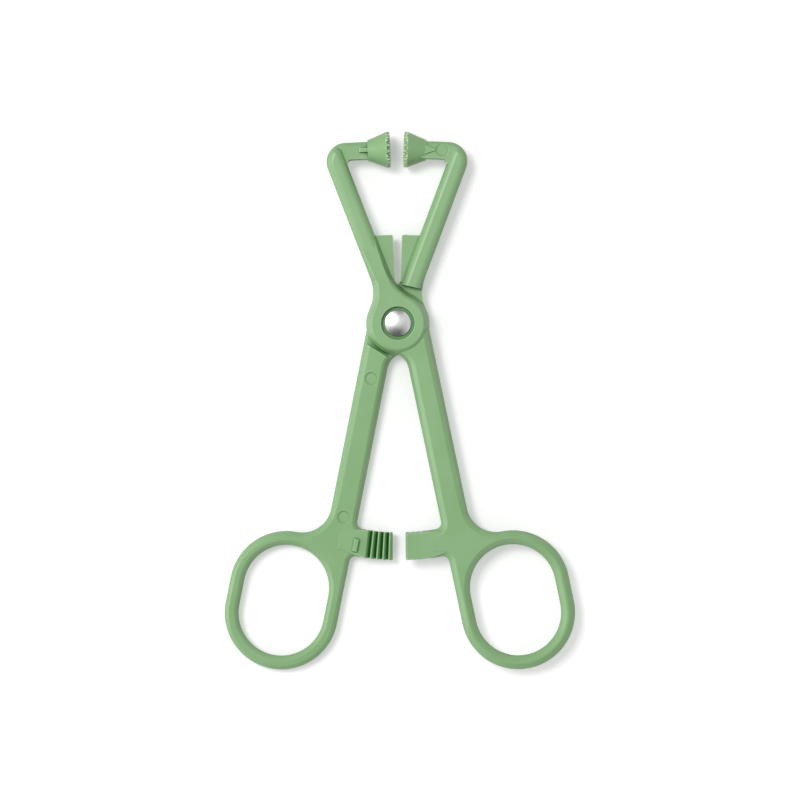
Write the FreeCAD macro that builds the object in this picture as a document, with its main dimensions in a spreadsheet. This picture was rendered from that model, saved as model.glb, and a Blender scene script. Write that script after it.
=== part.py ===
"""Locking forceps: two identical plastic arms, one turned over, joined by a steel rivet.

Frame: millimetres, +Z up, +Y towards the jaws. The origin is on the pivot axis, in the plane that the
forceps lies on. Each arm is drawn in its own frame with the pivot axis at the origin, the plane between
the two arms at z = 0 and the jaws closed; its plain side faces +z and its toothed side faces -z.
"""
import FreeCAD, Part
import math
import os
import Sketcher
from FreeCAD import Placement, Rotation, Vector

SIZES = (
    ("closed_turn", 2.2, "degrees each arm is turned from closed in the resting pose"),
    ("layer", 4.0, "thickness of one arm at the pivot disc"),
    ("lap_gap", 0.05, "each disc stays this far from the plane between the arms"),
    ("disc_radius", 7.15, "outer radius of the pivot disc"),
    ("disc_edge", 0.4, "bevel round the disc's rim"),
    ("recess_radius", 3.75, "recess for the rivet head"),
    ("recess_depth", 1.0, "depth of the recess"),
    ("handle_angle", 9.35, "closed angle between handle and axis of symmetry"),
    ("shank_inner", 0.31, "inner edge of the shank from the pivot axis"),
    ("shank_outer", 6.64, "outer edge of the shank from the pivot axis"),
    ("shank_start", 1.0, "where the shank begins, inside the disc"),
    ("plain_face", 3.05, "plain face of the handle at the ratchet bar, above the plane between the arms"),
    ("toothed_face", 0.27, "toothed face of the handle at the ratchet bar, below that plane"),
    ("plain_near", 3.45, "plain face of the handle at the disc"),
    ("toothed_near", 1.0, "toothed face of the handle at the disc"),
    ("handle_parting", 1.33, "parting line of the handle above that plane"),
    ("handle_draft", 24.0, "slope of the bevelled sides, degrees"),
    ("plain_edge", 0.65, "bevel along the handle's edges, plain side"),
    ("toothed_edge", 0.4, "bevel along the handle's edges, toothed side"),
    ("web_radius", 6.6, "concave edge between shank and ring"),
    ("ring_reach", 66.15, "ring centre, measured along the handle"),
    ("ring_straight", 2.9, "half the straight length of the ring"),
    ("ring_hole", 9.63, "half width of the finger hole"),
    ("ring_band", 3.15, "width of the ring's band"),
    ("crotch_handle", 4.4, "concave edge between disc and shank"),
    ("crotch_sink", 0.15, "how far that edge runs into the disc"),
    ("rack_inner", 46.9, "ratchet bar, radius of the edge nearer the pivot"),
    ("rack_width", 6.4, "ratchet bar, from that edge to the one nearer the ring"),
    ("rack_end", 1.37, "free end of the ratchet bar from the axis of symmetry at rest"),
    ("root_length", 3.9, "bevelled root of the ratchet bar, from the shank"),
    ("root_flare", 3.5, "length over which the bar comes out of its root"),
    ("root_drop", 1.03, "how much narrower the bar is inside the shank, each side"),
    ("bar_shift", 0.06, "the bar's faces stand this much further towards the toothed side"),
    ("rack_draft", 6.0, "slope of the ratchet bar's sides, degrees"),
    ("root_sink", 0.03, "how far the root stays inside the bar's sides"),
    ("rack_fillet", 1.4, "concave corners between ratchet bar and shank"),
    ("tooth_pitch", 1.5, "degrees from tooth to tooth"),
    ("tooth_count", 4.0, "valleys between the crests"),
    ("tooth_first", 2.4, "first crest at rest, degrees from the axis of symmetry"),
    ("tooth_depth", 1.3, "depth of a valley"),
    ("tooth_land", 0.2, "flat on top of a crest"),
    ("tooth_wall", 0.12, "plan width of a tooth's steep face"),
    ("lead_in", 0.85, "plan length of the slope at the free end"),
    ("lead_drop", 1.1, "how far the slope at the free end falls"),
    ("stop_offset", 0.65, "stop block, from the middle of the bar towards the ring"),
    ("stop_angle", 8.9, "stop block, closed angle from the axis of symmetry"),
    ("stop_width", 1.5, "stop block, across the bar"),
    ("stop_length", 3.3, "stop block, along the radius"),
    ("stop_height", 1.0, "stop block above the toothed side"),
    ("stop_draft", 15.0, "slope of the stop block's sides, degrees"),
    ("jaw_angle", 18.7, "closed angle between jaw arm and axis of symmetry"),
    ("jaw_outer", 2.08, "outer edge of the jaw arm from the pivot axis"),
    ("jaw_inner", 2.36, "inner edge of the jaw arm from the pivot axis"),
    ("jaw_half", 2.3, "half thickness of the jaw arm"),
    ("jaw_edge", 1.6, "rounding of the jaw arm's edges and of its end"),
    ("corner_radius", 4.3, "outer corner between jaw arm and cross bar"),
    ("corner_share", 55.0, "part of the outer corner that the cross bar follows, degrees"),
    ("corner_inner", 0.9, "inner corner between jaw arm and cross bar"),
    ("neck_outer", 8.9, "concave edge between disc and jaw arm, outside"),
    ("neck_inner", 12.0, "concave edge between disc and jaw arm, in the crotch"),
    ("neck_draft", 14.0, "slope of the neck's sides, degrees"),
    ("ramp_start", 8.8, "where the neck begins to slope down"),
    ("ramp_end", 28.0, "where the slope reaches the middle plane"),
    ("tip_reach", 39.2, "centre line of the cone pads from the pivot axis"),
    ("bar_width", 3.85, "cross bar in plan"),
    ("bar_plain", 1.25, "cross bar above the middle plane, plain side"),
    ("bar_toothed", 2.0, "cross bar below the middle plane, toothed side"),
    ("bar_edge", 0.8, "bevel along the cross bar's far edges"),
    ("bar_sink", 1.38, "how far the cross bar's root reaches into the jaw arm"),
    ("pad_length", 3.9, "cone pad from its small end to the teeth"),
    ("pad_small", 2.4, "radius of the cone pad's small end"),
    ("pad_rim", 4.0, "radius of the cone pad's rim"),
    ("collar_length", 0.25, "step at the small end of the cone pad"),
    ("point_height", 0.9, "height of the gripping points"),
    ("point_spacing", 0.89, "distance between rows of gripping points"),
    ("point_land", 0.1, "flat tip of a gripping point"),
    ("rib_length", 1.9, "ribs behind the cone pad"),
    ("rib_width", 0.85, "rib on the plain side"),
    ("rib_top", 2.15, "rib height above the middle plane"),
    ("gusset_width", 2.0, "gusset on the toothed side, at the cone pad"),
    ("gusset_tip", 0.4, "gusset, far end"),
    ("gusset_top", 2.35, "gusset height below the middle plane"),
    ("plate_gap", 0.25, "crotch plate from the axis of symmetry when closed"),
    ("plate_half", 0.6, "half thickness of the crotch plate"),
    ("plate_foot", 9.4, "lower end of the crotch plate"),
    ("plate_top", 20.0, "upper end of the crotch plate"),
    ("plate_corner", 0.35, "rounded corner of the crotch plate"),
    ("jaw_wall", 8.75, "step of the half lap towards the jaw"),
    ("jaw_wall_angle", 11.8, "direction of that step, degrees from the axis of symmetry"),
    ("handle_wall", 7.65, "step of the half lap towards the handle"),
    ("handle_wall_angle", 29.8, "direction of that step, degrees from the axis of symmetry"),
    ("mark_radius", 1.4, "ejector pin marks"),
    ("mark_depth", 0.18, "depth of the ejector pin marks"),
    ("mark_near", 13.3, "first mark, measured along the handle"),
    ("mark_far", 45.1, "second mark, measured along the handle"),
    ("mark_jaw", 8.59, "mark on the cross bar from the axis of symmetry"),
    ("rivet_radius", 1.5, "rivet shank"),
    ("rivet_clearance", 0.05, "play between rivet and arms"),
    ("head_radius", 2.9, "rivet head"),
    ("head_height", 0.9, "height of the rivet's domed head"),
    ("tail_height", 0.7, "height of the rivet's flat set tail"),
    ("head_rim", 0.4, "straight rim of the head"),
)
SHEET = "Size"
JAW = "Size.jaw_angle * 1 deg"
BAR_MIDDLE = "(Size.rack_inner + Size.rack_width / 2)"
BAR_OUTER = "(Size.rack_inner + Size.rack_width)"
CREST = "(Size.toothed_face + Size.bar_shift)"
RING_MIDDLE = "Size.shank_inner + Size.ring_hole + Size.ring_band"
RING_NEAR = "-(Size.ring_reach - Size.ring_straight)"
RING_FAR = "-(Size.ring_reach + Size.ring_straight)"
CORNER_ALONG = (
    "(Size.tip_reach + Size.bar_width / 2 - Size.corner_radius"
    " - (Size.corner_radius - Size.jaw_outer) * sin(Size.jaw_angle * 1 deg))"
    " / cos(Size.jaw_angle * 1 deg)"
)
# Degrees between the cross bar and the rows of gripping points.
ROW_SLANT = 45
# Lengths and a height of cuts that run right past the part, and half the length of a step's line.
BEYOND_SIDES = "60"
ABOVE_ALL = "Size.layer * 2"
LAP_REACH = "30"
# Two places closer than this are taken as one.
SAME = 0.01
# The property that holds the size of each kind of finished edge.
EDGE_SIZES = {"Fillet": "Radius", "Chamfer": "Size"}


def make_sheet(doc):
    """Put the driving sizes into a spreadsheet, one named cell each."""
    sheet = doc.addObject("Spreadsheet::Sheet", SHEET)
    for row, (alias, value, note) in enumerate(SIZES, start=1):
        sheet.set(f"A{row}", alias)
        sheet.set(f"B{row}", str(value))
        sheet.setAlias(f"B{row}", alias)
        sheet.set(f"C{row}", note)
    doc.recompute()
    return sheet


def work_out(formula):
    """The present value of a formula of spreadsheet cells."""
    return float(FreeCAD.ActiveDocument.getObject(SHEET).evalExpression(formula))


def direction(x, y):
    """Direction of a point from the origin, in degrees from 0 to 360."""
    return math.degrees(math.atan2(y, x)) % 360


class Profile:
    """A sketch on one of a body's own planes, its sizes bound to formulas of spreadsheet cells."""

    def __init__(self, body, name, plane="XY_Plane", turn=None, lift=None):
        self.sketch = body.newObject("Sketcher::SketchObject", name)
        support = next(item for item in body.Origin.OriginFeatures if item.Role == plane)
        self.sketch.AttachmentSupport = [(support, "")]
        self.sketch.MapMode = "FlatFace"
        if turn:
            spin = Rotation(Vector(0, 0, 1), work_out(turn))
            self.sketch.AttachmentOffset = Placement(Vector(), spin)
            self.sketch.setExpression("AttachmentOffset.Rotation.Angle", turn)
        if lift:
            self.sketch.setExpression("AttachmentOffset.Base.z", lift)

    def relate(self, kind, *where):
        """Add a constraint that carries no size."""
        self.sketch.addConstraint(Sketcher.Constraint(kind, *where))

    def bind(self, kind, *where, to):
        """Add a dimension and tie it to a formula."""
        number = self.sketch.addConstraint(Sketcher.Constraint(kind, *where, work_out(to)))
        self.sketch.setExpression(f"Constraints[{number}]", to)

    def pin(self, item, end, place):
        """Hold one point of an element at a place given by two formulas."""
        self.bind("DistanceX", -1, 1, item, end, to=place[0])
        self.bind("DistanceY", -1, 1, item, end, to=place[1])

    def join(self, *items):
        """Make each element start where the one before it ends."""
        for first, second in zip(items, items[1:]):
            self.relate("Coincident", first, 2, second, 1)

    def line(self, start, end):
        """A straight edge between two points, given as pairs of numbers."""
        return self.sketch.addGeometry(Part.LineSegment(Vector(*start), Vector(*end)))

    def arc(self, centre, radius, start, end):
        """An arc, anticlockwise between two directions in degrees, its radius given by a formula."""
        circle = Part.Circle(Vector(*centre), Vector(0, 0, 1), work_out(radius))
        item = self.sketch.addGeometry(Part.ArcOfCircle(circle, math.radians(start), math.radians(end)))
        self.bind("Radius", item, to=radius)
        return item

    def circle(self, radius, place=("0", "0")):
        """A full circle."""
        centre = Vector(*[work_out(part) for part in place])
        item = self.sketch.addGeometry(Part.Circle(centre, Vector(0, 0, 1), work_out(radius)))
        self.bind("Radius", item, to=radius)
        self.pin(item, 3, place)
        return self

    def polygon(self, *corners):
        """A closed outline of straight edges through corners given as pairs of formulas."""
        spots = [(work_out(x), work_out(y)) for x, y in corners]
        edges = [self.line(here, there) for here, there in zip(spots, spots[1:] + spots[:1])]
        self.join(*edges, edges[0])
        for edge, corner in zip(edges, corners):
            self.pin(edge, 1, corner)
        return self


def pad(body, name, profile, up=None, down=None, draft=None, add=True, reverse=False):
    """Raise (or cut) a profile by one or two lengths given as formulas, with drafted sides."""
    kind = "PartDesign::Pad" if add else "PartDesign::Pocket"
    feature = body.newObject(kind, name)
    feature.Profile = profile.sketch
    profile.sketch.Visibility = False
    feature.Reversed = reverse
    feature.setExpression("Length", up)
    if down == up:
        feature.SideType = "Symmetric"
        feature.setExpression("Length", f"({up}) + ({down})")
    elif down:
        feature.SideType = "Two sides"
        feature.setExpression("Length2", down)
    if draft:
        feature.setExpression("TaperAngle", f"-({draft})")
        if down and down != up:
            feature.setExpression("TaperAngle2", f"-({draft})")
    return settle(body, feature)


def settle(body, feature):
    """Make a feature the body's tip and recompute; stop if it failed."""
    body.Tip = feature
    FreeCAD.ActiveDocument.recompute()
    if "Invalid" in feature.State or body.Shape.isNull():
        raise RuntimeError(f"{feature.Label} failed")
    return feature


def neck(body):
    """The pivot end of the jaw arm: concave edges from disc to arm, and a ramp down to its level."""
    outline = Profile(body, "NeckOutline", turn="Size.jaw_angle", lift="Size.lap_gap")
    inner = work_out("Size.jaw_inner")
    outer = -work_out("Size.jaw_outer")
    inner_x = work_out("Size.jaw_inner + Size.neck_inner")
    outer_x = -work_out("Size.jaw_outer + Size.neck_outer")
    inner_y = math.sqrt(work_out("Size.disc_radius + Size.neck_inner") ** 2 - inner_x ** 2)
    outer_y = math.sqrt(work_out("Size.disc_radius + Size.neck_outer") ** 2 - outer_x ** 2)
    end = work_out("Size.ramp_end") / math.cos(math.radians(work_out("Size.jaw_angle")))
    inner_turn = direction(inner_x, inner_y)
    outer_turn = direction(outer_x, outer_y)
    rim = outline.arc((0, 0), "Size.disc_radius", outer_turn, inner_turn + 360)
    crotch = outline.arc((inner_x, inner_y), "Size.neck_inner", 180, 180 + inner_turn)
    near = outline.line((inner, inner_y), (inner, end))
    across = outline.line((inner, end), (outer, end))
    far = outline.line((outer, end), (outer, outer_y))
    waist = outline.arc((outer_x, outer_y), "Size.neck_outer", outer_turn - 180, 0)
    outline.relate("Coincident", rim, 3, -1, 1)
    outline.relate("Tangent", rim, 2, crotch, 2)
    outline.relate("Tangent", crotch, 1, near, 1)
    outline.relate("Tangent", far, 2, waist, 2)
    outline.relate("Tangent", waist, 1, rim, 1)
    outline.join(near, across, far)
    outline.relate("Vertical", near)
    outline.relate("Vertical", far)
    reach = f"Size.ramp_end / cos({JAW})"
    outline.pin(near, 2, ("Size.jaw_inner", reach))
    outline.pin(far, 1, ("-Size.jaw_outer", reach))
    pad(body, "Neck", outline, up="Size.layer - Size.lap_gap", draft="Size.neck_draft")
    top = work_out("Size.layer")
    finish_edges(body, "Chamfer", "DiscRim", "Size.disc_edge", lambda edge: round_the_top(edge, top))
    ramp = Profile(body, "RampSide", plane="YZ_Plane").polygon(
        ("Size.ramp_start", "Size.layer"),
        ("Size.ramp_end", "0"),
        ("Size.ramp_end * 2", "0"),
        ("Size.ramp_end * 2", ABOVE_ALL),
        ("Size.ramp_start", ABOVE_ALL),
    )
    pad(body, "Ramp", ramp, up=BEYOND_SIDES, down=BEYOND_SIDES, add=False)


def round_the_top(edge, top):
    """True for the edges round the top of the neck and disc, without the straight end."""
    low = min(vertex.Point.z for vertex in edge.Vertexes)
    curved = not isinstance(edge.Curve, Part.Line)
    return low > top - SAME and curved


def jaw_arm(body):
    """The slanting arm, well rounded, up to its outer corner."""
    outline = Profile(body, "JawOutline", turn="Size.jaw_angle")
    inner = work_out("Size.jaw_inner")
    outer = -work_out("Size.jaw_outer")
    radius = work_out("Size.corner_radius")
    small = work_out("Size.jaw_edge")
    along = work_out(CORNER_ALONG)
    aside = inner - small - (outer + radius)
    ahead = math.sqrt((radius - small) ** 2 - aside ** 2)
    turn = direction(aside, ahead)
    far = outline.line((outer, 0), (outer, along))
    corner = outline.arc((outer + radius, along), "Size.corner_radius", turn, 180)
    end = outline.arc((inner - small, along + ahead), "Size.jaw_edge", 0, turn)
    near = outline.line((inner, along + ahead), (inner, 0))
    foot = outline.line((inner, 0), (outer, 0))
    outline.relate("Tangent", far, 2, corner, 2)
    outline.relate("Tangent", corner, 1, end, 2)
    outline.relate("Tangent", end, 1, near, 1)
    outline.join(near, foot, far)
    outline.relate("Vertical", far)
    outline.relate("Vertical", near)
    outline.bind("DistanceY", -1, 1, corner, 3, to=CORNER_ALONG)
    outline.pin(far, 1, ("-Size.jaw_outer", "0"))
    outline.pin(near, 2, ("Size.jaw_inner", "0"))
    pad(body, "JawArm", outline, up="Size.jaw_half", down="Size.jaw_half")
    face = work_out("Size.jaw_half")
    start = work_out("Size.ramp_end") / 2

    def on_jaw_face(edge):
        """True for the edges of the arm's two faces, past the middle of the ramp."""
        middle = edge.CenterOfMass
        return abs(abs(middle.z) - face) < SAME and middle.y > start

    finish_edges(body, "Fillet", "JawEdges", "Size.jaw_edge", on_jaw_face)


def finish_edges(body, kind, name, size, wanted):
    """Round (Fillet) or bevel (Chamfer) the edges of a body that a test picks out."""
    base = body.Tip
    edges = [f"Edge{number}" for number, edge in enumerate(base.Shape.Edges, start=1) if wanted(edge)]
    feature = body.newObject(f"PartDesign::{kind}", name)
    feature.Base = (base, edges)
    feature.setExpression(EDGE_SIZES[kind], size)
    return settle(body, feature)


def fuse(body, name, other):
    """Join another body into this one."""
    feature = body.newObject("PartDesign::Boolean", name)
    feature.Type = "Fuse"
    feature.setObjects([other])
    return settle(body, feature)


def cross_bar(body):
    """The bar that carries the cone pad, thinner than the arm, with a rounded inner corner."""
    outline = Profile(body, "BarOutline")
    corner_x = f"(Size.corner_radius - Size.jaw_outer) * cos({JAW}) - ({CORNER_ALONG}) * sin({JAW})"
    corner_y = "Size.tip_reach + Size.bar_width / 2 - Size.corner_radius"
    start_x = f"{corner_x} - Size.corner_radius * sin((Size.corner_share + Size.jaw_angle) * 1 deg)"
    start_y = f"{corner_y} + Size.corner_radius * cos((Size.corner_share + Size.jaw_angle) * 1 deg)"
    nook_y = "Size.tip_reach - Size.bar_width / 2 - Size.corner_inner"
    nook_along = f"({nook_y} - (Size.jaw_inner + Size.corner_inner) * sin({JAW})) / cos({JAW})"
    nook_x = f"(Size.jaw_inner + Size.corner_inner) * cos({JAW}) - ({nook_along}) * sin({JAW})"
    foot_x = f"{nook_x} - Size.corner_inner * cos({JAW})"
    foot_y = f"{nook_y} - Size.corner_inner * sin({JAW})"
    inside_x = f"{foot_x} - Size.bar_sink * cos({JAW})"
    inside_y = f"{foot_y} - Size.bar_sink * sin({JAW})"
    tip_x = "-(Size.point_height + Size.pad_length / 2)"
    corner = (work_out(corner_x), work_out(corner_y))
    start = (work_out(start_x), work_out(start_y))
    nook = (work_out(nook_x), work_out(nook_y))
    foot = (work_out(foot_x), work_out(foot_y))
    inside = (work_out(inside_x), work_out(inside_y))
    tip = work_out(tip_x)
    top_y = work_out("Size.tip_reach + Size.bar_width / 2")
    low_y = work_out("Size.tip_reach - Size.bar_width / 2")
    turn = work_out("90 + Size.jaw_angle + Size.corner_share")
    round_out = outline.arc(corner, "Size.corner_radius", 90, turn)
    top = outline.line((corner[0], top_y), (tip, top_y))
    end = outline.line((tip, top_y), (tip, low_y))
    low = outline.line((tip, low_y), (nook[0], low_y))
    round_in = outline.arc(nook, "Size.corner_inner", 90, 180 + work_out("Size.jaw_angle"))
    root = outline.line(foot, inside)
    back = outline.line(inside, start)
    outline.relate("Tangent", round_out, 1, top, 1)
    outline.join(top, end, low)
    outline.relate("Tangent", low, 2, round_in, 1)
    outline.relate("Coincident", round_in, 2, root, 1)
    outline.join(root, back)
    outline.relate("Coincident", back, 2, round_out, 2)
    outline.relate("Horizontal", top)
    outline.relate("Horizontal", low)
    outline.relate("Vertical", end)
    outline.pin(round_out, 3, (corner_x, corner_y))
    outline.bind("DistanceX", -1, 1, round_out, 2, to=start_x)
    outline.bind("DistanceX", -1, 1, end, 1, to=tip_x)
    outline.pin(round_in, 3, (nook_x, nook_y))
    outline.bind("DistanceX", -1, 1, root, 1, to=foot_x)
    outline.pin(back, 1, (inside_x, inside_y))
    pad(body, "CrossBar", outline, up="Size.bar_plain", down="Size.bar_toothed")
    finish_edges(body, "Chamfer", "BarEdges", "Size.bar_edge", on_far_side_of_bar)


def on_bar_face(edge):
    """True for edges in one of the two faces of the cross bar."""
    height = edge.CenterOfMass.z
    in_plain = abs(height - work_out("Size.bar_plain")) < SAME
    in_toothed = abs(height + work_out("Size.bar_toothed")) < SAME
    return edge.BoundBox.ZLength < SAME and (in_plain or in_toothed)


def on_far_side_of_bar(edge):
    """True for the edges of the cross bar's faces along its far side and round the outer corner."""
    if not on_bar_face(edge):
        return False
    if isinstance(edge.Curve, Part.Circle):
        return edge.Curve.Radius > work_out("(Size.corner_radius + Size.jaw_edge) / 2")
    past_middle = edge.CenterOfMass.y > work_out("Size.tip_reach + Size.bar_width / 4")
    return isinstance(edge.Curve, Part.Line) and past_middle


def cone_pad(body):
    """The cone on the end of the cross bar, its face cut into rows of gripping points."""
    rim = "-Size.point_height"
    small = "-(Size.point_height + Size.pad_length)"
    section = Profile(body, "ConeSection").polygon(
        ("0", "Size.tip_reach"),
        ("0", "Size.tip_reach + Size.pad_rim"),
        (rim, "Size.tip_reach + Size.pad_rim"),
        (small, "Size.tip_reach + Size.pad_small"),
        (f"{small} - Size.collar_length", "Size.tip_reach + Size.pad_small"),
        (f"{small} - Size.collar_length", "Size.tip_reach"),
    )
    cone = body.newObject("PartDesign::Revolution", "Cone")
    cone.Profile = section.sketch
    cone.ReferenceAxis = (section.sketch, ["Edge6"])
    cone.Angle = 360
    settle(body, cone)


def gripping_points(body, name, slant):
    """One set of parallel V grooves across the cone pad's face; two sets leave rows of points."""
    groove = Profile(body, f"{name}Outline")
    groove.sketch.AttachmentOffset = Placement(Vector(), Rotation(Vector(1, 0, 0), slant))
    groove.sketch.setExpression("AttachmentOffset.Base.y", "Size.tip_reach")
    first = "-Size.point_spacing * ceil(Size.pad_rim / Size.point_spacing)"
    half = "(Size.point_spacing - Size.point_land) / 2"
    groove.polygon(
        ("-Size.point_height", first),
        ("0", f"{first} - {half}"),
        ("Size.point_height", f"{first} - {half}"),
        ("Size.point_height", f"{first} + {half}"),
        ("0", f"{first} + {half}"),
    )
    reach = "Size.pad_rim + Size.point_height"
    cut = pad(body, f"{name}Groove", groove, up=reach, down=reach, add=False)
    rows = body.newObject("PartDesign::LinearPattern", name)
    rows.Originals = [cut]
    rows.Direction = (groove.sketch, ["V_Axis"])
    rows.setExpression("Length", "2 * Size.point_spacing * ceil(Size.pad_rim / Size.point_spacing)")
    rows.setExpression("Occurrences", "2 * ceil(Size.pad_rim / Size.point_spacing) + 1")
    settle(body, rows)


def ribs(body):
    """The rib on the plain side and the gusset on the toothed side, behind the cone pad."""
    end = "-(Size.point_height + Size.pad_length)"
    far = f"{end} - Size.rib_length - Size.collar_length"
    rib = Profile(body, "RibOutline").polygon(
        (end, "Size.tip_reach - Size.rib_width / 2"),
        (end, "Size.tip_reach + Size.rib_width / 2"),
        (far, "Size.tip_reach + Size.rib_width / 2"),
        (far, "Size.tip_reach - Size.rib_width / 2"),
    )
    pad(body, "Rib", rib, up="Size.rib_top")
    gusset = Profile(body, "GussetOutline").polygon(
        (end, "Size.tip_reach - Size.gusset_width / 2"),
        (end, "Size.tip_reach + Size.gusset_width / 2"),
        (far, "Size.tip_reach + Size.gusset_tip / 2"),
        (far, "Size.tip_reach - Size.gusset_tip / 2"),
    )
    pad(body, "Gusset", gusset, up="Size.gusset_top", reverse=True)


def crotch_plate(body):
    """The thin plate that fills the crotch between the two jaw arms."""
    outline = Profile(body, "PlateOutline")
    gap = -work_out("Size.plate_gap")
    foot = work_out("Size.plate_foot")
    top = work_out("Size.plate_top")
    radius = work_out("Size.plate_corner")
    slope = f"tan({JAW})"
    edge = outline.line((gap, foot), (gap, top - radius))
    corner = outline.arc((gap - radius, top - radius), "Size.plate_corner", 0, 90)
    roof = outline.line((gap - radius, top), (-top * work_out(slope), top))
    arm = outline.line((-top * work_out(slope), top), (-foot * work_out(slope), foot))
    floor = outline.line((-foot * work_out(slope), foot), (gap, foot))
    outline.relate("Tangent", edge, 2, corner, 1)
    outline.relate("Tangent", corner, 2, roof, 1)
    outline.join(roof, arm, floor, edge)
    outline.relate("Vertical", edge)
    outline.relate("Horizontal", roof)
    outline.pin(edge, 1, ("-Size.plate_gap", "Size.plate_foot"))
    outline.pin(arm, 1, (f"-Size.plate_top * {slope}", "Size.plate_top"))
    outline.pin(floor, 1, (f"-Size.plate_foot * {slope}", "Size.plate_foot"))
    pad(body, "CrotchPlate", outline, up="Size.plate_half", down="Size.plate_half")


def handle(body):
    """Shank, root of the ratchet bar and finger ring in one outline with bevelled sides."""
    outline = Profile(body, "HandleOutline", turn="Size.handle_angle", lift="Size.handle_parting")
    inner = work_out("Size.shank_inner")
    outer = work_out("Size.shank_outer")
    rim = work_out("Size.ring_hole + Size.ring_band")
    far = work_out(RING_FAR)
    near = work_out(RING_NEAR)
    web = work_out("Size.web_radius")
    web_y = near + math.sqrt((rim + web) ** 2 - (outer + web - inner - rim) ** 2)
    web_turn = direction(outer + web - inner - rim, web_y - near)
    fillet = work_out("Size.crotch_handle")
    wall = "(Size.disc_radius - Size.handle_parting * tan(Size.neck_draft * 1 deg) - Size.crotch_sink)"
    crotch_y_text = f"-sqrt(({wall} + Size.crotch_handle)^2 - (Size.shank_inner - Size.crotch_handle)^2)"
    crotch_y = work_out(crotch_y_text)
    crotch_turn = direction(fillet - inner, -crotch_y)
    touch = f"{wall} / ({wall} + Size.crotch_handle)"
    touch_x = f"(Size.shank_inner - Size.crotch_handle) * {touch}"
    touch_spot = (work_out(touch_x), crotch_y * work_out(touch))
    start = -work_out("Size.shank_start")
    crotch = outline.arc((inner - fillet, crotch_y), "Size.crotch_handle", 0, crotch_turn)
    upper, lower = rack_root(outline, crotch_y, far)
    bottom = outline.arc((inner + rim, far), "Size.ring_hole + Size.ring_band", 180, 360)
    outside = outline.line((inner + 2 * rim, far), (inner + 2 * rim, near))
    shoulder = outline.arc((inner + rim, near), "Size.ring_hole + Size.ring_band", 0, web_turn)
    hollow = outline.arc((outer + web, web_y), "Size.web_radius", 180, 180 + web_turn)
    back = outline.line((outer, web_y), (outer, start))
    chord = outline.line((outer, start), touch_spot)
    outline.relate("Tangent", crotch, 1, upper, 1)
    outline.relate("Tangent", lower, 2, bottom, 1)
    outline.relate("Tangent", bottom, 2, outside, 1)
    outline.relate("Tangent", outside, 2, shoulder, 1)
    outline.relate("Tangent", shoulder, 2, hollow, 2)
    outline.relate("Tangent", hollow, 1, back, 1)
    outline.join(back, chord)
    outline.relate("Coincident", chord, 2, crotch, 2)
    outline.relate("Vertical", outside)
    outline.relate("Vertical", back)
    outline.bind("DistanceX", -1, 1, upper, 1, to="Size.shank_inner")
    outline.bind("DistanceY", -1, 1, crotch, 3, to=crotch_y_text)
    outline.bind("DistanceX", -1, 1, crotch, 2, to=touch_x)
    outline.bind("DistanceY", -1, 1, bottom, 3, to=RING_FAR)
    outline.bind("DistanceY", -1, 1, shoulder, 3, to=RING_NEAR)
    outline.pin(back, 2, ("Size.shank_outer", "-Size.shank_start"))
    pad(body, "Handle", outline, up="Size.layer - Size.handle_parting",
        down="Size.handle_parting + Size.layer / 2", draft="Size.handle_draft")
    sloping_face(body, "PlainFace", "Size.plain_near", "Size.plain_face", ABOVE_ALL)
    sloping_face(body, "ToothedFace", "-Size.toothed_near", "-Size.toothed_face", "-Size.layer")
    finger_hole(body, "HoleUp", up=True)
    finger_hole(body, "HoleDown", up=False)
    for kind in ("plain", "toothed"):
        name = f"{kind.capitalize()}Edges"
        finish_edges(body, "Chamfer", name, f"Size.{kind}_edge", lambda edge: on_face_rim(edge, kind))


def sloping_face(body, name, near, far, beyond):
    """Cut the handle down to a face that slopes from its height at the disc to that at the bar."""
    end = f"({BAR_MIDDLE} * 2)"
    slope = f"(({far}) - ({near})) / ({BAR_MIDDLE} - Size.disc_radius)"
    side = Profile(body, f"{name}Side", plane="YZ_Plane").polygon(
        ("0", f"{near} - {slope} * Size.disc_radius"),
        (f"-{end}", f"{near} + {slope} * ({end} - Size.disc_radius)"),
        (f"-{end}", beyond),
        ("0", beyond),
    )
    pad(body, name, side, up=BEYOND_SIDES, down=BEYOND_SIDES, add=False)


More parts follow.
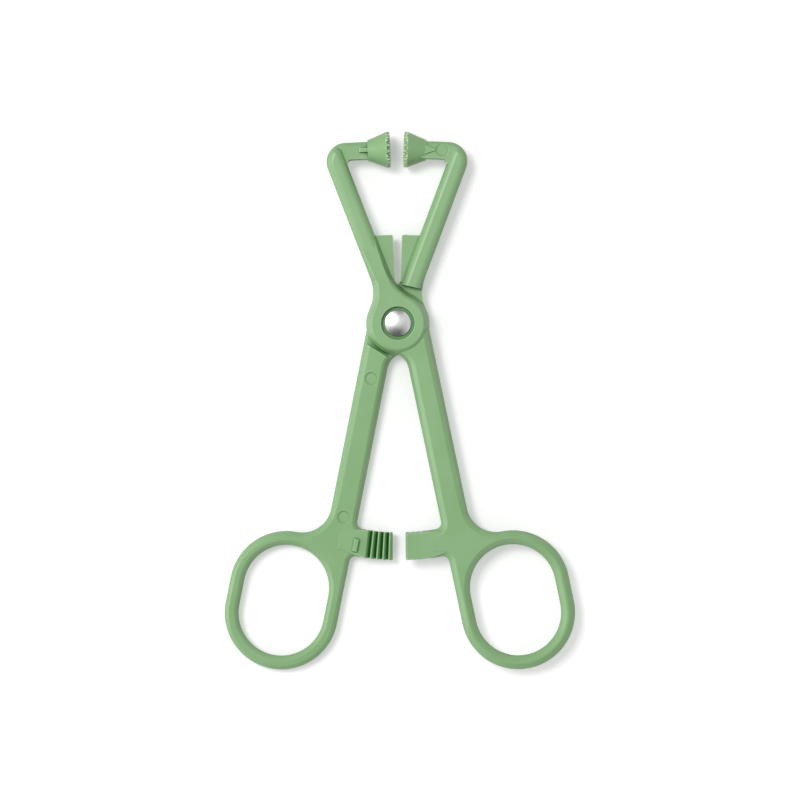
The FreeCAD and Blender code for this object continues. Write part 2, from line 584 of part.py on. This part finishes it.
def rack_root(outline, top, bottom):
    """The shank's inner edge with the root of the ratchet bar and its two concave corners."""
    inner = work_out("Size.shank_inner")
    fillet = work_out("Size.rack_fillet")
    near_text = "Size.rack_inner + Size.root_sink"
    far_text = f"{BAR_OUTER} - Size.root_sink"
    near = work_out(near_text)
    far = work_out(far_text)
    tip = work_out("Size.shank_inner - Size.root_length")
    across = inner - fillet
    up = math.sqrt((near - fillet) ** 2 - across ** 2)
    down = math.sqrt((far + fillet) ** 2 - across ** 2)
    near_turn = direction(across, -up)
    far_turn = direction(across, -down)
    near_tip = (tip, -math.sqrt(near ** 2 - tip ** 2))
    far_tip = (tip, -math.sqrt(far ** 2 - tip ** 2))
    upper = outline.line((inner, top), (inner, -up))
    corner_up = outline.arc((across, -up), "Size.rack_fillet", near_turn, 360)
    nearer = outline.arc((0, 0), near_text, direction(*near_tip), near_turn)
    end = outline.line(near_tip, far_tip)
    farther = outline.arc((0, 0), far_text, direction(*far_tip), far_turn)
    corner_down = outline.arc((across, -down), "Size.rack_fillet", 0, far_turn - 180)
    lower = outline.line((inner, -down), (inner, bottom))
    outline.relate("Tangent", upper, 2, corner_up, 2)
    outline.relate("Tangent", corner_up, 1, nearer, 2)
    outline.relate("Coincident", nearer, 1, end, 1)
    outline.relate("Coincident", end, 2, farther, 1)
    outline.relate("Tangent", farther, 2, corner_down, 2)
    outline.relate("Tangent", corner_down, 1, lower, 1)
    for item in (nearer, farther):
        outline.relate("Coincident", item, 3, -1, 1)
    for item in (upper, lower, end):
        outline.relate("Vertical", item)
    outline.bind("DistanceX", -1, 1, lower, 1, to="Size.shank_inner")
    outline.bind("DistanceX", -1, 1, end, 1, to="Size.shank_inner - Size.root_length")
    return upper, lower


def face_height(kind, y):
    """Height of a sloping face of the handle at a distance along y."""
    sign = 1 if kind == "plain" else -1
    near = sign * work_out(f"Size.{kind}_near")
    far = sign * work_out(f"Size.{kind}_face")
    disc = work_out("Size.disc_radius")
    return near + (far - near) * (-y - disc) / (work_out(BAR_MIDDLE) - disc)


def on_face_rim(edge, kind):
    """True for the edges round a face of the handle, without those inside the disc or the bar."""
    spots = [vertex.Point for vertex in edge.Vertexes] + [edge.valueAt(sum(edge.ParameterRange) / 2)]
    if any(abs(spot.z - face_height(kind, spot.y)) > SAME for spot in spots):
        return False
    radius = math.hypot(edge.CenterOfMass.x, edge.CenterOfMass.y)
    if radius < work_out("Size.disc_radius"):
        return False
    tip = work_out("Size.shank_inner - Size.root_length")
    lean = math.radians(work_out("Size.handle_angle"))
    aside = edge.CenterOfMass.x * math.cos(lean) + edge.CenterOfMass.y * math.sin(lean)
    return aside > tip + edge.Length / 4


def finger_hole(body, name, up):
    """One half of the finger hole, wider towards the face than at the parting line."""
    outline = Profile(body, f"{name}Outline", turn="Size.handle_angle", lift="Size.handle_parting")
    hole = work_out("Size.ring_hole")
    middle = work_out(RING_MIDDLE)
    far = work_out(RING_FAR)
    near = work_out(RING_NEAR)
    low = outline.arc((middle, far), "Size.ring_hole", 180, 360)
    right = outline.line((middle + hole, far), (middle + hole, near))
    high = outline.arc((middle, near), "Size.ring_hole", 0, 180)
    left = outline.line((middle - hole, near), (middle - hole, far))
    outline.relate("Tangent", low, 2, right, 1)
    outline.relate("Tangent", right, 2, high, 1)
    outline.relate("Tangent", high, 2, left, 1)
    outline.relate("Tangent", left, 2, low, 1)
    outline.pin(low, 3, (RING_MIDDLE, RING_FAR))
    outline.bind("DistanceY", -1, 1, high, 3, to=RING_NEAR)
    depth = "Size.layer - Size.handle_parting" if up else "Size.handle_parting + Size.layer / 2"
    pad(body, name, outline, up=depth, draft="-Size.handle_draft", add=False, reverse=up)


def ratchet_bar(body):
    """The bar of the ratchet, between two arcs about the pivot, coming out of its root in the shank."""
    outline = Profile(body, "RackOutline", turn="-Size.closed_turn", lift=f"-{CREST}")
    lean = "((Size.handle_angle + Size.closed_turn) * 1 deg)"
    across = "(Size.shank_inner - Size.root_flare)"
    centre = "((Size.shank_inner + Size.shank_outer) / 2)"

    def spot(reach, aside):
        """Formulas of a point given along and across the handle, in the sketch's frame."""
        return (f"{reach} * sin({lean}) + {aside} * cos({lean})",
                f"{aside} * sin({lean}) - {reach} * cos({lean})")

    near_start = spot(f"sqrt(Size.rack_inner^2 - {across}^2)", across)
    far_start = spot(f"sqrt({BAR_OUTER}^2 - {across}^2)", across)
    near_root = spot("(Size.rack_inner + Size.root_drop)", centre)
    far_root = spot(f"({BAR_OUTER} - Size.root_drop)", centre)
    here = {place: (work_out(place[0]), work_out(place[1]))
            for place in (near_start, far_start, near_root, far_root)}
    end = work_out("Size.rack_end")
    near_end = (end, -math.sqrt(work_out("Size.rack_inner") ** 2 - end ** 2))
    far_end = (end, -math.sqrt(work_out(BAR_OUTER) ** 2 - end ** 2))
    nearer = outline.arc((0, 0), "Size.rack_inner", direction(*near_end), direction(*here[near_start]))
    farther = outline.arc((0, 0), BAR_OUTER, direction(*far_end), direction(*here[far_start]))
    tip = outline.line(far_end, near_end)
    root_up = outline.line(here[near_start], here[near_root])
    root = outline.line(here[near_root], here[far_root])
    root_down = outline.line(here[far_root], here[far_start])
    for item in (nearer, farther):
        outline.relate("Coincident", item, 3, -1, 1)
    outline.relate("Coincident", nearer, 2, root_up, 1)
    outline.join(root_up, root, root_down)
    outline.relate("Coincident", root_down, 2, farther, 2)
    outline.relate("Coincident", farther, 1, tip, 1)
    outline.relate("Coincident", tip, 2, nearer, 1)
    outline.relate("Vertical", tip)
    outline.bind("DistanceX", -1, 1, tip, 1, to="Size.rack_end")
    outline.bind("DistanceX", -1, 1, nearer, 2, to=near_start[0])
    outline.bind("DistanceX", -1, 1, farther, 2, to=far_start[0])
    outline.pin(root, 1, near_root)
    outline.pin(root, 2, far_root)
    pad(body, "RatchetBar", outline, up="Size.plain_face + Size.toothed_face", draft="Size.rack_draft")


def across_rack(body, name, corners):
    """A cut across the ratchet bar, its profile seen along the radius at the first crest."""
    cut = Profile(body, f"{name}Outline", plane="XZ_Plane")
    turn = "(Size.tooth_first - Size.closed_turn)"
    start = "(Size.rack_inner - Size.stop_width)"
    cut.sketch.AttachmentOffset = Placement(Vector(), Rotation(Vector(0, 1, 0), work_out(turn)))
    cut.sketch.setExpression("AttachmentOffset.Rotation.Angle", turn)
    cut.sketch.setExpression("AttachmentOffset.Base.x", f"{start} * sin({turn} * 1 deg)")
    cut.sketch.setExpression("AttachmentOffset.Base.z", f"{start} * cos({turn} * 1 deg)")
    cut.polygon(*corners)
    length = "Size.rack_width + 2 * Size.stop_width"
    return pad(body, name, cut, up=length, add=False, reverse=True)


def ratchet_teeth(body):
    """Radial teeth on the bar's underside, steep towards the handle, and a slope at the free end."""
    crest = f"-{CREST}"
    open_side = "-Size.layer"
    pitch = f"{BAR_MIDDLE} * Size.tooth_pitch * pi / 180"
    valley = across_rack(body, "Valley", (
        ("Size.tooth_land", crest),
        ("Size.tooth_land + Size.tooth_wall", f"{crest} + Size.tooth_depth"),
        (pitch, crest),
        (pitch, open_side),
        ("Size.tooth_land", open_side),
    ))
    teeth = body.newObject("PartDesign::PolarPattern", "Teeth")
    teeth.Originals = [valley]
    upright = next(item for item in body.Origin.OriginFeatures if item.Role == "Z_Axis")
    teeth.Axis = (upright, [""])
    teeth.setExpression("Angle", "Size.tooth_pitch * (Size.tooth_count - 1)")
    teeth.setExpression("Occurrences", "Size.tooth_count")
    settle(body, teeth)
    across_rack(body, "LeadIn", (
        ("0", crest),
        ("0", open_side),
        ("-2 * Size.lead_in", open_side),
        ("-2 * Size.lead_in", f"{crest} + 2 * Size.lead_drop"),
    ))


def stop_block(body):
    """The block on the toothed side that the other arm's ratchet bar meets."""
    middle = f"({BAR_MIDDLE} + Size.stop_offset)"
    outline = Profile(body, "StopOutline", turn="Size.stop_angle").polygon(
        ("-Size.stop_width / 2", f"-{middle} - Size.stop_length / 2"),
        ("Size.stop_width / 2", f"-{middle} - Size.stop_length / 2"),
        ("Size.stop_width / 2", f"-{middle} + Size.stop_length / 2"),
        ("-Size.stop_width / 2", f"-{middle} + Size.stop_length / 2"),
    )
    pad(body, "StopBlock", outline, up="Size.toothed_face + Size.stop_height",
        draft="Size.stop_draft", reverse=True)


def half_lap(body):
    """Clear the lower layer at the pivot for the other arm, between two straight steps."""

    def spot(wall, angle, along):
        """Formulas of a point on a step that stands at a distance from the pivot axis."""
        turn = f"{angle} * 1 deg"
        return (f"{along} * cos({turn}) - ({wall}) * sin({turn})",
                f"{along} * sin({turn}) + ({wall}) * cos({turn})")

    outline = Profile(body, "LapOutline", lift="Size.lap_gap").polygon(
        spot("Size.jaw_wall", "Size.jaw_wall_angle", LAP_REACH),
        spot("Size.jaw_wall", "Size.jaw_wall_angle", f"-{LAP_REACH}"),
        spot("-Size.handle_wall", "Size.handle_wall_angle", f"-{LAP_REACH}"),
        spot("-Size.handle_wall", "Size.handle_wall_angle", LAP_REACH),
    )
    pad(body, "HalfLap", outline, up=BEYOND_SIDES, add=False)


def rivet_seat(body):
    """The recess for the rivet head and the hole for its shank."""
    for name, radius, depth in (
        ("Recess", "Size.recess_radius", "Size.recess_depth"),
        ("RivetHole", "Size.rivet_radius + Size.rivet_clearance", ABOVE_ALL),
    ):
        outline = Profile(body, f"{name}Outline", lift="Size.layer").circle(radius)
        pad(body, name, outline, up=depth, add=False)


def pin_mark(body, name, place, level):
    """A shallow round mark left by an ejector pin, on the toothed side."""
    outline = Profile(body, f"{name}Outline", lift=f"{level} + Size.mark_depth")
    outline.circle("Size.mark_radius", place)
    pad(body, name, outline, up="Size.layer", add=False)


def pin_marks(body):
    """Two marks on the handle and one on the cross bar."""
    lean = "Size.handle_angle * 1 deg"
    centre = "(Size.shank_inner + Size.shank_outer) / 2"
    slope = f"(Size.toothed_near - Size.toothed_face) / ({BAR_MIDDLE} - Size.disc_radius)"
    for name, along in (("NearMark", "Size.mark_near"), ("FarMark", "Size.mark_far")):
        across = f"{centre} * cos({lean}) + {along} * sin({lean})"
        ahead = f"({centre} * sin({lean}) - {along} * cos({lean}))"
        level = f"-(Size.toothed_near + ({ahead} + Size.disc_radius) * {slope})"
        pin_mark(body, name, (across, ahead), level)
    pin_mark(body, "JawMark", ("-Size.mark_jaw", "Size.tip_reach"), "-Size.bar_toothed")


def ratcheted_handle(body):
    """The handle with its ratchet bar."""
    handle(body)
    ratchet_bar(body)
    ratchet_teeth(body)


def make_arm(doc):
    """One complete arm moulding in its own frame."""
    body = doc.addObject("PartDesign::Body", "Arm")
    jaw_arm(body)
    for name, build in (("Bar", cross_bar), ("Neck", neck), ("Handle", ratcheted_handle)):
        section = doc.addObject("PartDesign::Body", f"{name}Section")
        build(section)
        fuse(body, f"{name}Join", section)
    cone_pad(body)
    gripping_points(body, "RisingRows", ROW_SLANT)
    gripping_points(body, "FallingRows", -ROW_SLANT)
    ribs(body)
    crotch_plate(body)
    half_lap(body)
    rivet_seat(body)
    stop_block(body)
    pin_marks(body)
    return body


def make_rivet(doc):
    """The steel rivet: domed head in the front recess, flat set tail in the back one."""
    body = doc.addObject("PartDesign::Body", "pivot_rivet")
    outline = Profile(body, "RivetSection", plane="XZ_Plane")
    cap = "(Size.head_height - Size.head_rim)"
    dome = f"((Size.head_radius^2 + {cap}^2) / (2 * {cap}))"
    seat_low = "Size.recess_depth"
    seat_high = "(Size.layer * 2 - Size.recess_depth + Size.rivet_clearance)"
    head = work_out("Size.head_radius")
    shank = work_out("Size.rivet_radius")
    low = work_out(seat_low)
    end = work_out(f"{seat_low} - Size.tail_height")
    high = work_out(seat_high)
    shoulder = work_out(f"{seat_high} + Size.head_rim")
    top = work_out(f"{seat_high} + Size.head_height")
    radius = work_out(dome)
    swing = math.degrees(math.asin(head / radius))
    axis = outline.line((0, end), (0, top))
    crown = outline.arc((0, top - radius), dome, 90 - swing, 90)
    rim = outline.line((head, shoulder), (head, high))
    under = outline.line((head, high), (shank, high))
    stem = outline.line((shank, high), (shank, low))
    over = outline.line((shank, low), (head, low))
    edge = outline.line((head, low), (head, end))
    foot = outline.line((head, end), (0, end))
    outline.relate("Coincident", axis, 2, crown, 2)
    outline.relate("Coincident", crown, 1, rim, 1)
    outline.join(rim, under, stem, over, edge, foot, axis)
    outline.relate("PointOnObject", crown, 3, -2)
    outline.pin(rim, 1, ("Size.head_radius", f"{seat_high} + Size.head_rim"))
    outline.pin(under, 1, ("Size.head_radius", seat_high))
    outline.pin(stem, 1, ("Size.rivet_radius", seat_high))
    outline.pin(over, 1, ("Size.rivet_radius", seat_low))
    outline.pin(edge, 1, ("Size.head_radius", seat_low))
    outline.pin(foot, 1, ("Size.head_radius", f"{seat_low} - Size.tail_height"))
    outline.pin(axis, 1, ("0", f"{seat_low} - Size.tail_height"))
    outline.relate("PointOnObject", axis, 2, -2)
    turned = body.newObject("PartDesign::Revolution", "Turned")
    turned.Profile = outline.sketch
    turned.ReferenceAxis = (outline.sketch, ["V_Axis"])
    turned.Angle = 360
    settle(body, turned)
    return body


def check(doc, bodies):
    """Stop if anything failed to build."""
    failed = [item.Name for item in doc.Objects if {"Invalid", "Error"} & set(item.State)]
    if failed:
        raise RuntimeError(f"these objects failed: {failed}")
    for body in bodies:
        if body.Shape.isNull() or not body.Shape.isValid() or len(body.Shape.Solids) != 1:
            raise RuntimeError(f"{body.Label} is not one valid solid")


def copy_of(doc, moulding, label):
    """A body with its own name and placement that has the shape of the finished moulding."""
    body = doc.addObject("PartDesign::Body", label)
    body.Label = label
    body.BaseFeature = moulding
    doc.recompute()
    return body


def main():
    """Build the document and write one STEP file for each piece."""
    doc = FreeCAD.newDocument("LockingForceps")
    make_sheet(doc)
    moulding = make_arm(doc)
    front = copy_of(doc, moulding, "front_arm")
    back = copy_of(doc, moulding, "back_arm")
    rivet = make_rivet(doc)
    turn = Rotation(Vector(0, 0, 1), work_out("Size.closed_turn"))
    flip = Rotation(Vector(0, 1, 0), 180)
    middle = Vector(0, 0, work_out("Size.layer"))
    front.Placement = Placement(middle, turn)
    back.Placement = Placement(middle, turn.inverted() * flip)
    doc.recompute()
    check(doc, (moulding, front, back, rivet))
    os.makedirs("parts", exist_ok=True)
    for body in (front, back, rivet):
        body.Shape.exportStep(f"parts/{body.Label}.step")


main()
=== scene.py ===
"""Locking forceps lying on a pale table, seen from straight above. Lengths are in metres."""
import math

import bpy
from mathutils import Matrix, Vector

MM = 0.001

# The camera: the width that it shows, the middle of the picture, its distance and its roll.
VIEW_WIDTH = 180.03 * MM
VIEW_CENTRE = Vector((0.38, -17.19, 4.0)) * MM
CAMERA_DISTANCE = 620 * MM
CAMERA_ROLL = math.radians(-0.33)
CAMERA_NEAR = 10 * MM
SENSOR = 36.0

# Colours of the plastic: two tones of its flow marks, a painted highlight for its edges, and painted shade
# for the foot of small steps and for deep corners.
GREEN = (0.256, 0.447, 0.212, 1.0)
GREEN_DEEP = (0.228, 0.422, 0.184, 1.0)
GREEN_EDGE_HIGHLIGHT = (0.560, 0.760, 0.450, 1.0)
GREEN_STEP_SHADE = (0.110, 0.290, 0.085, 1.0)
GREEN_CREVICE_SHADE = (0.008, 0.160, 0.016, 1.0)

# How far edges (for the painted highlight), small steps and deep corners (for the painted shade)
# are looked for. Each effect begins where a place is as open as the first number of its range and is full
# at the second.
EDGE_REACH = 0.40 * MM
EDGE_RANGE = (0.72, 0.42)
STEP_REACH = 0.45 * MM
STEP_RANGE = (0.90, 0.55)
CREVICE_REACH = 1.3 * MM
CREVICE_RANGE = (0.74, 0.34)
SHADE_SAMPLES = 8

# The plastic's surface. The sizes of its flow marks, waves and grain are in millimetres.
EDGE_ROUNDING = 0.18 * MM
FLOW_SIZE = 9.0
FLOW_RANGE = (0.35, 0.65)
WAVE_SIZE = 2.2
WAVE_STRENGTH = 0.35
WAVE_HEIGHT = 0.03 * MM
GRAIN_SIZE = 0.16
GRAIN_STRENGTH = 0.25
GRAIN_HEIGHT = 0.008 * MM
NOISE_RANGE = (0.3, 0.7)
PLASTIC_ROUGHNESS = (0.30, 0.42)
PLASTIC_IOR = 1.49
SCATTER_SHARE = 0.06
SCATTER_RADIUS = (0.5, 1.0, 0.4)
SCATTER_REACH = 0.6 * MM

# The rivet's steel, with the sizes of its smudges and forming marks in millimetres.
STEEL = (0.66, 0.66, 0.65, 1.0)
STEEL_WORN = (0.52, 0.53, 0.53, 1.0)
STEEL_ROUGHNESS = (0.24, 0.36)
SMUDGE_SIZE = 1.4
WEAR_RANGE = (0.35, 0.7)
MARK_SIZE = 0.5
MARK_STRENGTH = 0.15
MARK_HEIGHT = 0.02 * MM

# The table: its true colour, and the share of the light and the glow that the camera sees of it.
TABLE_SIZE = 4.0
TABLE = (0.60, 0.60, 0.60, 1.0)
TABLE_SHOWN = (0.86, 0.86, 0.86, 1.0)
TABLE_GLOW = 0.29
WHITE = (1.0, 1.0, 1.0, 1.0)

# Strength of the soft light from all round, at the horizon and straight above, and where it is seen.
DOME_LOW = 0.06
DOME_HIGH = 0.70
DOME_SEEN = 1.0

# Each lamp's azimuth, elevation, share of white that it puts on the table, distance and size.
LAMPS = {
    "key": (143, 64, 0.42, 1200 * MM, 380 * MM),
    "side": (183, 12, 0.10, 900 * MM, 700 * MM),
}

# Each dark card's azimuth, elevation, distance and size, and how bright the cards look in the rivet.
CARDS = {
    "dark_card_south": (262, 55, 300 * MM, 270 * MM),
    "dark_card_north": (95, 45, 300 * MM, 190 * MM),
}
CARD_GLOW = 0.08

# The places of a Mix node's two inputs and of its result, for numbers and for colours.
MIX_PLACES = {"FLOAT": (2, 3, 0), "RGBA": (6, 7, 2)}


def new_material(name, kind):
    """A node material with one shader of a kind, and what fills it: shader, output, nodes and links."""
    material = bpy.data.materials.new(name)
    material.use_nodes = True
    nodes = material.node_tree.nodes
    nodes.clear()
    output = nodes.new("ShaderNodeOutputMaterial")
    shader = nodes.new(kind)
    return material, shader, output.inputs["Surface"], nodes, material.node_tree.links


def noise(nodes, links, coordinates, size, detail=2.0, roughness=0.5):
    """A noise texture in the object's own coordinates; its size is given in millimetres."""
    texture = nodes.new("ShaderNodeTexNoise")
    texture.inputs["Scale"].default_value = 1.0 / (size * MM)
    texture.inputs["Detail"].default_value = detail
    texture.inputs["Roughness"].default_value = roughness
    links.new(coordinates.outputs["Object"], texture.inputs["Vector"])
    return texture.outputs["Fac"]


def remap(nodes, links, source, given, wanted=(0.0, 1.0)):
    """A socket's value, taken from a given range to a wanted one."""
    node = nodes.new("ShaderNodeMapRange")
    for name, value in zip(("From Min", "From Max", "To Min", "To Max"), (*given, *wanted)):
        node.inputs[name].default_value = value
    links.new(source, node.inputs["Value"])
    return node.outputs["Result"]


def blend(nodes, links, factor, first, second, kind="RGBA"):
    """Two colours, or two numbers, mixed by a factor; either may be a socket."""
    node = nodes.new("ShaderNodeMix")
    node.data_type = kind
    *places, result = MIX_PLACES[kind]
    links.new(factor, node.inputs["Factor"])
    for place, value in zip(places, (first, second)):
        if isinstance(value, bpy.types.NodeSocket):
            links.new(value, node.inputs[place])
        else:
            node.inputs[place].default_value = value
    return node.outputs[result]


def bump(nodes, links, height, strength, distance, normal=None):
    """Small relief on the surface, on top of another normal where one is given."""
    node = nodes.new("ShaderNodeBump")
    node.inputs["Strength"].default_value = strength
    node.inputs["Distance"].default_value = distance
    links.new(height, node.inputs["Height"])
    if normal:
        links.new(normal, node.inputs["Normal"])
    return node.outputs["Normal"]


def closed_in(nodes, links, reach, given, inside=False):
    """1 where other faces close a place in within a reach, 0 where it is open.

    Looked for outside the solid, that marks corners and gaps. Looked for inside, it marks edges and tips.
    """
    shade = nodes.new("ShaderNodeAmbientOcclusion")
    shade.samples = SHADE_SAMPLES
    shade.inside = inside
    shade.only_local = inside
    shade.inputs["Distance"].default_value = reach
    return remap(nodes, links, shade.outputs["AO"], given)


def plastic_colour(nodes, links, coordinates):
    """Green with faint flow marks, a painted highlight along edges, and painted shade along steps and in
    deep corners.
    """
    flow = noise(nodes, links, coordinates, FLOW_SIZE, detail=3.0)
    cloud = remap(nodes, links, flow, FLOW_RANGE)
    result = blend(nodes, links, cloud, GREEN_DEEP, GREEN)
    # Painted shade: the foot of small steps is darkened where nearby faces close it in.
    steps = closed_in(nodes, links, STEP_REACH, STEP_RANGE)
    result = blend(nodes, links, steps, result, GREEN_STEP_SHADE)
    # Painted highlight: edges, crests and tips are lightened where the solid is thin.
    edges = closed_in(nodes, links, EDGE_REACH, EDGE_RANGE, inside=True)
    result = blend(nodes, links, edges, result, GREEN_EDGE_HIGHLIGHT)
    # Painted shade: deep corners, recesses, ratchet valleys and gaps between the parts are darkened where
    # other faces close them in.
    crevices = closed_in(nodes, links, CREVICE_REACH, CREVICE_RANGE)
    return blend(nodes, links, crevices, result, GREEN_CREVICE_SHADE)


def green_plastic():
    """Satin moulded plastic with slightly rounded edges, shallow waves and a fine spark-eroded grain."""
    material, shader, surface, nodes, links = new_material("green_plastic", "ShaderNodeBsdfPrincipled")
    links.new(shader.outputs["BSDF"], surface)
    coordinates = nodes.new("ShaderNodeTexCoord")
    links.new(plastic_colour(nodes, links, coordinates), shader.inputs["Base Color"])
    rounded = nodes.new("ShaderNodeBevel")
    rounded.samples = SHADE_SAMPLES
    rounded.inputs["Radius"].default_value = EDGE_ROUNDING
    waves = noise(nodes, links, coordinates, WAVE_SIZE, detail=1.0)
    grain = noise(nodes, links, coordinates, GRAIN_SIZE, detail=3.0, roughness=0.6)
    normal = bump(nodes, links, waves, WAVE_STRENGTH, WAVE_HEIGHT, rounded.outputs["Normal"])
    normal = bump(nodes, links, grain, GRAIN_STRENGTH, GRAIN_HEIGHT, normal)
    links.new(normal, shader.inputs["Normal"])
    links.new(remap(nodes, links, grain, NOISE_RANGE, PLASTIC_ROUGHNESS), shader.inputs["Roughness"])
    shader.inputs["IOR"].default_value = PLASTIC_IOR
    shader.inputs["Subsurface Weight"].default_value = SCATTER_SHARE
    shader.inputs["Subsurface Radius"].default_value = SCATTER_RADIUS
    shader.inputs["Subsurface Scale"].default_value = SCATTER_REACH
    return material


def polished_steel():
    """Polished steel with a trace of wear and fine forming marks."""
    material, shader, surface, nodes, links = new_material("steel", "ShaderNodeBsdfPrincipled")
    links.new(shader.outputs["BSDF"], surface)
    coordinates = nodes.new("ShaderNodeTexCoord")
    smudges = noise(nodes, links, coordinates, SMUDGE_SIZE, detail=3.0)
    marks = noise(nodes, links, coordinates, MARK_SIZE)
    wear = remap(nodes, links, smudges, WEAR_RANGE)
    links.new(blend(nodes, links, wear, STEEL, STEEL_WORN), shader.inputs["Base Color"])
    links.new(remap(nodes, links, smudges, NOISE_RANGE, STEEL_ROUGHNESS), shader.inputs["Roughness"])
    links.new(bump(nodes, links, marks, MARK_STRENGTH, MARK_HEIGHT), shader.inputs["Normal"])
    shader.inputs["Metallic"].default_value = 1.0
    return material


def seen(nodes, links):
    """1 for camera, glossy and transmission rays, else 0."""
    path = nodes.new("ShaderNodeLightPath")
    total = path.outputs["Is Camera Ray"]
    for ray in ("Is Glossy Ray", "Is Transmission Ray"):
        node = nodes.new("ShaderNodeMath")
        node.operation = "MAXIMUM"
        links.new(total, node.inputs[0])
        links.new(path.outputs[ray], node.inputs[1])
        total = node.outputs["Value"]
    return total


def table_material():
    """Matt pale table; where the camera sees it, it is white and its shadows are light."""
    material, matt, surface, nodes, links = new_material("table", "ShaderNodeBsdfDiffuse")
    links.new(blend(nodes, links, seen(nodes, links), TABLE, WHITE), matt.inputs["Color"])
    shown = nodes.new("ShaderNodeBsdfDiffuse")
    shown.inputs["Color"].default_value = TABLE_SHOWN
    glow = nodes.new("ShaderNodeEmission")
    glow.inputs["Strength"].default_value = TABLE_GLOW
    both = nodes.new("ShaderNodeAddShader")
    links.new(shown.outputs["BSDF"], both.inputs[0])
    links.new(glow.outputs["Emission"], both.inputs[1])
    path = nodes.new("ShaderNodeLightPath")
    choice = nodes.new("ShaderNodeMixShader")
    links.new(path.outputs["Is Camera Ray"], choice.inputs["Fac"])
    links.new(matt.outputs["BSDF"], choice.inputs[1])
    links.new(both.outputs["Shader"], choice.inputs[2])
    links.new(choice.outputs["Shader"], surface)
    return material


def make_table():
    """The table top that the forceps lies on."""
    bpy.ops.mesh.primitive_plane_add(size=TABLE_SIZE, location=(0, 0, 0))
    table = bpy.context.object
    table.name = "table_top"
    table.data.materials.append(table_material())


def make_world():
    """Soft light from above, weaker towards the horizon; white wherever it is seen."""
    world = bpy.data.worlds.new("studio")
    bpy.context.scene.world = world
    world.use_nodes = True
    nodes = world.node_tree.nodes
    links = world.node_tree.links
    nodes.clear()
    output = nodes.new("ShaderNodeOutputWorld")
    background = nodes.new("ShaderNodeBackground")
    background.inputs["Color"].default_value = WHITE
    coordinates = nodes.new("ShaderNodeTexCoord")
    split = nodes.new("ShaderNodeSeparateXYZ")
    links.new(coordinates.outputs["Generated"], split.inputs["Vector"])
    dome = remap(nodes, links, split.outputs["Z"], (0.0, 1.0), (DOME_LOW, DOME_HIGH))
    strength = blend(nodes, links, seen(nodes, links), dome, DOME_SEEN, kind="FLOAT")
    links.new(strength, background.inputs["Strength"])
    links.new(background.outputs["Background"], output.inputs["Surface"])


def towards(azimuth, elevation):
    """The direction at an azimuth from +X and an elevation above the table, in degrees."""
    turn = math.radians(azimuth)
    rise = math.radians(elevation)
    return Vector((math.cos(turn) * math.cos(rise), math.sin(turn) * math.cos(rise), math.sin(rise)))


def face_part(item, direction):
    """Turn a lamp or a card that lies in a direction from the forceps so that it faces it."""
    item.rotation_mode = "QUATERNION"
    item.rotation_quaternion = direction.to_track_quat("Z", "Y")


def make_lamps():
    """A large soft box high at the upper left and a low one at the left."""
    for name, (azimuth, elevation, level, distance, size) in LAMPS.items():
        direction = towards(azimuth, elevation)
        data = bpy.data.lights.new(name, "AREA")
        data.shape = "SQUARE"
        data.size = size
        data.energy = level * math.pi ** 2 * distance ** 2 / direction.z
        lamp = bpy.data.objects.new(name, data)
        lamp.location = VIEW_CENTRE + direction * distance
        face_part(lamp, direction)
        bpy.context.scene.collection.objects.link(lamp)


def make_dark_cards():
    """Two dark cards high above, seen only in the polished rivet, which they give its dark bands."""
    material, shader, surface, _, links = new_material("dark_card", "ShaderNodeEmission")
    shader.inputs["Strength"].default_value = CARD_GLOW
    links.new(shader.outputs["Emission"], surface)
    for name, (azimuth, elevation, distance, size) in CARDS.items():
        direction = towards(azimuth, elevation)
        bpy.ops.mesh.primitive_plane_add(size=size, location=direction * distance)
        card = bpy.context.object
        card.name = name
        face_part(card, direction)
        card.data.materials.append(material)
        card.visible_camera = False
        card.visible_diffuse = False
        card.visible_shadow = False
        card.visible_transmission = False


def make_camera():
    """The photograph's camera: straight above, with the field it shows."""
    data = bpy.data.cameras.new("camera")
    data.sensor_width = SENSOR
    data.lens = SENSOR * CAMERA_DISTANCE / VIEW_WIDTH
    data.clip_start = CAMERA_NEAR
    camera = bpy.data.objects.new("camera", data)
    camera.location = VIEW_CENTRE + Vector((0, 0, CAMERA_DISTANCE))
    camera.rotation_euler = (0, 0, CAMERA_ROLL)
    bpy.context.scene.collection.objects.link(camera)
    bpy.context.scene.camera = camera


def dress(node, material):
    """Give a CAD node its finished material."""
    slots = node.data.materials
    slots.clear()
    slots.append(material)


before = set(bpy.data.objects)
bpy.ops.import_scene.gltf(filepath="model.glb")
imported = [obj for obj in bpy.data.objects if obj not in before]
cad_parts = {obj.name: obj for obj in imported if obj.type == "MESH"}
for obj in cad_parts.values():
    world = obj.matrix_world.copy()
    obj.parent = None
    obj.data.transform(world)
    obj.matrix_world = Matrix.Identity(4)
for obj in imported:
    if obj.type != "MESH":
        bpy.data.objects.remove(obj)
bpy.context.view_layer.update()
plastic = green_plastic()
for arm in ("front_arm", "back_arm"):
    dress(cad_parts[arm], plastic)
dress(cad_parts["pivot_rivet"], polished_steel())
make_table()
make_world()
make_lamps()
make_dark_cards()
make_camera()
bpy.context.scene.view_settings.view_transform = "Standard"
